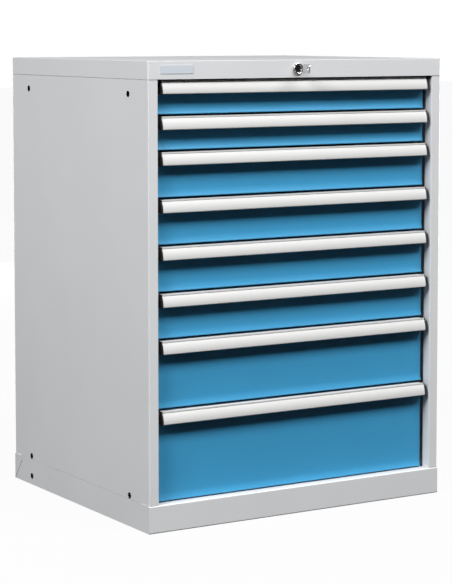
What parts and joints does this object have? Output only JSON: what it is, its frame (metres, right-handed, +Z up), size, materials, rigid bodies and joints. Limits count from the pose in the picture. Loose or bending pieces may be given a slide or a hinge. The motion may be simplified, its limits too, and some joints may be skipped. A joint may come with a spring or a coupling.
{
  "type": "modular drawer cabinet",
  "caption": "Sheet-steel drawer cabinet on a plinth: full-width drawers with aluminium grip handles on full-extension slides, and a keyed central lock in the top fascia.",
  "frame": {"origin": "on the floor, in the middle of the overall footprint, which runs from the tip of the key to the rear edge of the top cover", "axes": "+Z is up, the drawer fronts look towards -Y, and +X is to the right as seen from the front"},
  "size_m": [0.762, 0.6988, 1],
  "materials": {
    "carcass_paint": "light grey powder coat, fine texture",
    "front_paint": "light blue powder coat, fine texture",
    "handle_aluminium": "satin anodised extrusion",
    "cap_plastic": "black moulded plastic",
    "tray_paint": "grey powder coat",
    "slide_zinc": "zinc-plated steel",
    "lock_chrome": "nickel-plated, polished",
    "key_nickel": "nickel-plated key",
    "plate_satin": "satin, bare"
  },
  "bodies": {
    "carcass": {"right_side": "carcass_paint", "left_side": "carcass_paint", "back_panel": "carcass_paint", "top_cover": "carcass_paint", "head_rail": "carcass_paint", "name_plate": "plate_satin", "plinth_front": "carcass_paint", "plinth_rear": "carcass_paint", "plinth_sides": "carcass_paint", "floor_panel": "carcass_paint", "uprights": "tray_paint", "right_rails": "slide_zinc", "left_rails": "slide_zinc", "lock_housing": "lock_chrome", "lock_brackets": "slide_zinc"},
    "drawer_1": {"drawer_1_front": "front_paint", "drawer_1_handle": "handle_aluminium", "drawer_1_end_caps": "cap_plastic", "drawer_1_tray": "tray_paint"},
    "slide_1": {"slide_1_middle": "slide_zinc"},
    "drawer_2": {"drawer_2_front": "front_paint", "drawer_2_handle": "handle_aluminium", "drawer_2_end_caps": "cap_plastic", "drawer_2_tray": "tray_paint"},
    "slide_2": {"slide_2_middle": "slide_zinc"},
    "drawer_3": {"drawer_3_front": "front_paint", "drawer_3_handle": "handle_aluminium", "drawer_3_end_caps": "cap_plastic", "drawer_3_tray": "tray_paint"},
    "slide_3": {"slide_3_middle": "slide_zinc"},
    "drawer_4": {"drawer_4_front": "front_paint", "drawer_4_handle": "handle_aluminium", "drawer_4_end_caps": "cap_plastic", "drawer_4_tray": "tray_paint"},
    "slide_4": {"slide_4_middle": "slide_zinc"},
    "drawer_5": {"drawer_5_front": "front_paint", "drawer_5_handle": "handle_aluminium", "drawer_5_end_caps": "cap_plastic", "drawer_5_tray": "tray_paint"},
    "slide_5": {"slide_5_middle": "slide_zinc"},
    "drawer_6": {"drawer_6_front": "front_paint", "drawer_6_handle": "handle_aluminium", "drawer_6_end_caps": "cap_plastic", "drawer_6_tray": "tray_paint"},
    "slide_6": {"slide_6_middle": "slide_zinc"},
    "drawer_7": {"drawer_7_front": "front_paint", "drawer_7_handle": "handle_aluminium", "drawer_7_end_caps": "cap_plastic", "drawer_7_tray": "tray_paint"},
    "slide_7": {"slide_7_middle": "slide_zinc"},
    "drawer_8": {"drawer_8_front": "front_paint", "drawer_8_handle": "handle_aluminium", "drawer_8_end_caps": "cap_plastic", "drawer_8_tray": "tray_paint"},
    "slide_8": {"slide_8_middle": "slide_zinc"},
    "lock_cylinder": {"lock_barrel": "lock_chrome", "key": "key_nickel", "lock_rod": "slide_zinc"},
    "lock_latch": {"lock_bar": "slide_zinc", "lock_hooks": "slide_zinc"}
  },
  "joints": [
    {"name": "drawer_1_slide", "type": "slide", "parent": "carcass", "child": "drawer_1", "axis": [0, -1, 0], "range_m": [0, 0.55]},
    {"name": "slide_1_slide", "type": "slide", "parent": "carcass", "child": "slide_1", "axis": [0, -1, 0], "range_m": [0, 0.275]},
    {"name": "drawer_2_slide", "type": "slide", "parent": "carcass", "child": "drawer_2", "axis": [0, -1, 0], "range_m": [0, 0.55]},
    {"name": "slide_2_slide", "type": "slide", "parent": "carcass", "child": "slide_2", "axis": [0, -1, 0], "range_m": [0, 0.275]},
    {"name": "drawer_3_slide", "type": "slide", "parent": "carcass", "child": "drawer_3", "axis": [0, -1, 0], "range_m": [0, 0.55]},
    {"name": "slide_3_slide", "type": "slide", "parent": "carcass", "child": "slide_3", "axis": [0, -1, 0], "range_m": [0, 0.275]},
    {"name": "drawer_4_slide", "type": "slide", "parent": "carcass", "child": "drawer_4", "axis": [0, -1, 0], "range_m": [0, 0.55]},
    {"name": "slide_4_slide", "type": "slide", "parent": "carcass", "child": "slide_4", "axis": [0, -1, 0], "range_m": [0, 0.275]},
    {"name": "drawer_5_slide", "type": "slide", "parent": "carcass", "child": "drawer_5", "axis": [0, -1, 0], "range_m": [0, 0.55]},
    {"name": "slide_5_slide", "type": "slide", "parent": "carcass", "child": "slide_5", "axis": [0, -1, 0], "range_m": [0, 0.275]},
    {"name": "drawer_6_slide", "type": "slide", "parent": "carcass", "child": "drawer_6", "axis": [0, -1, 0], "range_m": [0, 0.55]},
    {"name": "slide_6_slide", "type": "slide", "parent": "carcass", "child": "slide_6", "axis": [0, -1, 0], "range_m": [0, 0.275]},
    {"name": "drawer_7_slide", "type": "slide", "parent": "carcass", "child": "drawer_7", "axis": [0, -1, 0], "range_m": [0, 0.55]},
    {"name": "slide_7_slide", "type": "slide", "parent": "carcass", "child": "slide_7", "axis": [0, -1, 0], "range_m": [0, 0.275]},
    {"name": "drawer_8_slide", "type": "slide", "parent": "carcass", "child": "drawer_8", "axis": [0, -1, 0], "range_m": [0, 0.55]},
    {"name": "slide_8_slide", "type": "slide", "parent": "carcass", "child": "slide_8", "axis": [0, -1, 0], "range_m": [0, 0.275]},
    {"name": "lock_lift", "type": "slide", "parent": "carcass", "child": "lock_latch", "axis": [0, 0, 1], "range_m": [0, 0.01414]},
    {"name": "lock_turn", "type": "hinge", "parent": "carcass", "child": "lock_cylinder", "pos_m": [-0.008, -0.3016, 0.98075], "axis": [0, 1, 0], "range_deg": [0, 90]}
  ],
  "couplings": [
    {"joint": "slide_1_slide", "follows": "drawer_1_slide", "ratio": 0.5},
    {"joint": "slide_2_slide", "follows": "drawer_2_slide", "ratio": 0.5},
    {"joint": "slide_3_slide", "follows": "drawer_3_slide", "ratio": 0.5},
    {"joint": "slide_4_slide", "follows": "drawer_4_slide", "ratio": 0.5},
    {"joint": "slide_5_slide", "follows": "drawer_5_slide", "ratio": 0.5},
    {"joint": "slide_6_slide", "follows": "drawer_6_slide", "ratio": 0.5},
    {"joint": "slide_7_slide", "follows": "drawer_7_slide", "ratio": 0.5},
    {"joint": "slide_8_slide", "follows": "drawer_8_slide", "ratio": 0.5},
    {"joint": "lock_turn", "follows": "lock_lift", "rad_per_m": 111.07}
  ]
}
